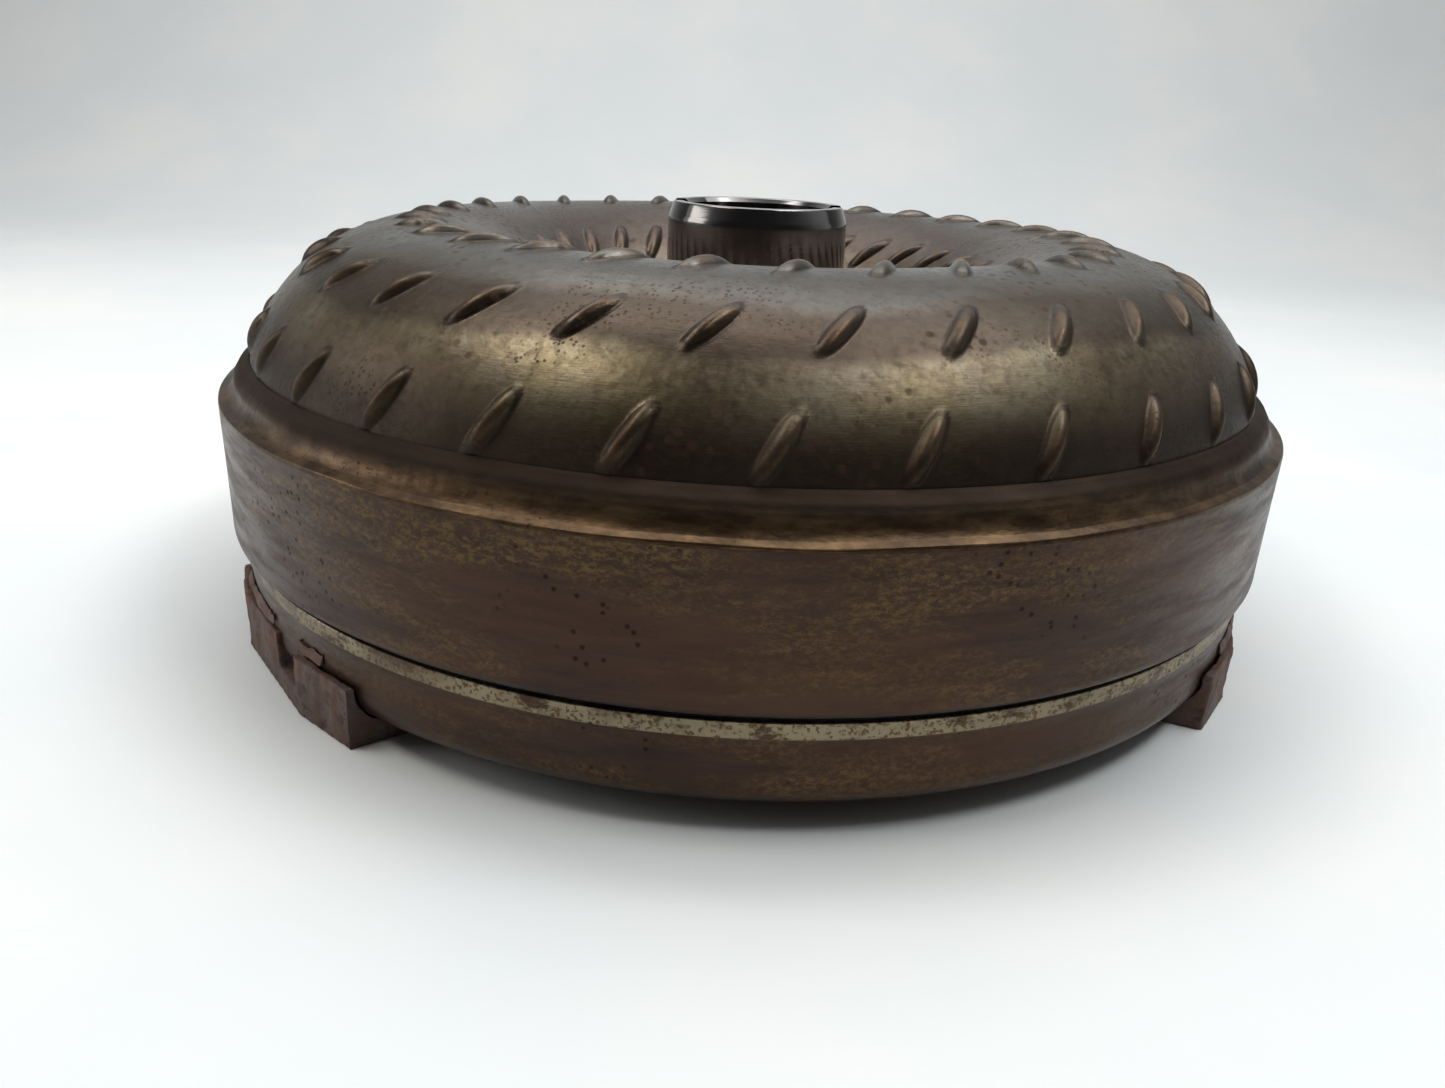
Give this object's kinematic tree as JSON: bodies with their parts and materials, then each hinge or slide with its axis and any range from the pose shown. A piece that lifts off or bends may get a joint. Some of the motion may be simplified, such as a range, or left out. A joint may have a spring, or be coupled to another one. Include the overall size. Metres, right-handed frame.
{
  "type": "torque converter",
  "caption": "Round welded torque converter housing with embossed impeller shell, pump hub and mounting lugs; turbine, stator and lock-up clutch turn inside.",
  "frame": {"origin": "on the turning axis, in the plane of the mounting lug faces", "axes": "+Z along the turning axis, from the engine side to the pump hub; +X is the viewer's right and +Y points away from the viewer"},
  "size_m": [0.258, 0.258, 0.0987],
  "materials": {
    "cover_steel": "oxidised dark brown steel, satin, scraped bright on the locating band",
    "shell_steel": "heat-oxidised olive bronze steel, semi-gloss",
    "weld_bead": "oxidised brown weld metal",
    "lug_steel": "rusty red-brown, rough",
    "hub_steel": "ground and polished steel",
    "machined_steel": "turned steel",
    "blade_steel": "oily pressed sheet steel",
    "plate_steel": "oily pressed steel plate",
    "spring_steel": "shot-peened spring wire",
    "bearing_steel": "hardened and ground",
    "cast_aluminium": "as cast",
    "friction_paper": "fibre friction paper, matt",
    "seal_plastic": "filled seal plastic",
    "washer_plastic": "filled bearing plastic"
  },
  "bodies": {
    "housing": {"front_cover": "cover_steel", "pilot_boss": "machined_steel", "mounting_lug_1": "lug_steel", "mounting_lug_2": "lug_steel", "mounting_lug_3": "lug_steel", "lug_welds": "weld_bead", "impeller_shell": "shell_steel", "closing_weld": "weld_bead", "pump_hub": "hub_steel", "hub_weld": "weld_bead", "impeller_blades": "blade_steel", "impeller_core_ring": "blade_steel", "pump_bearing_shell_race": "bearing_steel"},
    "turbine": {"turbine_shell": "blade_steel", "turbine_blades": "blade_steel", "turbine_core_ring": "blade_steel", "turbine_hub": "machined_steel", "turbine_rivets": "machined_steel", "damper_driven_plate": "plate_steel", "piston_seal_ring": "seal_plastic", "cover_thrust_washer": "washer_plastic", "turbine_bearing_hub_race": "bearing_steel"},
    "spring_cage": {"damper_spring_cage": "plate_steel", "damper_springs": "spring_steel"},
    "piston": {"lockup_piston": "plate_steel", "friction_lining": "friction_paper"},
    "stator": {"stator_wheel": "cast_aluminium", "clutch_outer_race": "machined_steel", "clutch_rollers": "bearing_steel", "clutch_springs": "spring_steel", "clutch_end_cap_turbine_side": "machined_steel", "clutch_end_cap_pump_side": "machined_steel", "turbine_bearing_stator_race": "bearing_steel", "pump_bearing_stator_race": "bearing_steel"},
    "inner_race": {"clutch_inner_race": "machined_steel"},
    "turbine_bearing": {"turbine_bearing_needles": "bearing_steel", "turbine_bearing_cage": "bearing_steel"},
    "pump_bearing": {"pump_bearing_needles": "bearing_steel", "pump_bearing_cage": "bearing_steel"}
  },
  "joints": [
    {"name": "turbine_spin", "type": "hinge", "parent": "housing", "child": "turbine", "pos_m": [0, 0, 0.05], "axis": [0, 0, 1], "continuous": true},
    {"name": "damper_twist", "type": "hinge", "parent": "turbine", "child": "spring_cage", "pos_m": [0, 0, 0.0213], "axis": [0, 0, 1], "range_deg": [-6, 6], "deforming": ["damper_springs"]},
    {"name": "piston_apply", "type": "slide", "parent": "spring_cage", "child": "piston", "axis": [0, 0, 1], "range_m": [-0.0012, 0]},
    {"name": "stator_spin", "type": "hinge", "parent": "housing", "child": "stator", "pos_m": [0, 0, 0.05], "axis": [0, 0, 1], "continuous": true},
    {"name": "inner_race_spin", "type": "hinge", "parent": "housing", "child": "inner_race", "pos_m": [0, 0, 0.05], "axis": [0, 0, 1], "continuous": true},
    {"name": "turbine_bearing_spin", "type": "hinge", "parent": "housing", "child": "turbine_bearing", "pos_m": [0, 0, 0.05], "axis": [0, 0, 1], "continuous": true},
    {"name": "pump_bearing_spin", "type": "hinge", "parent": "housing", "child": "pump_bearing", "pos_m": [0, 0, 0.05], "axis": [0, 0, 1], "continuous": true}
  ],
  "couplings": [
    {"joint": "turbine_bearing_spin", "follows": "turbine_spin", "ratio": 0.5},
    {"joint": "pump_bearing_spin", "follows": "stator_spin", "ratio": 0.5}
  ]
}
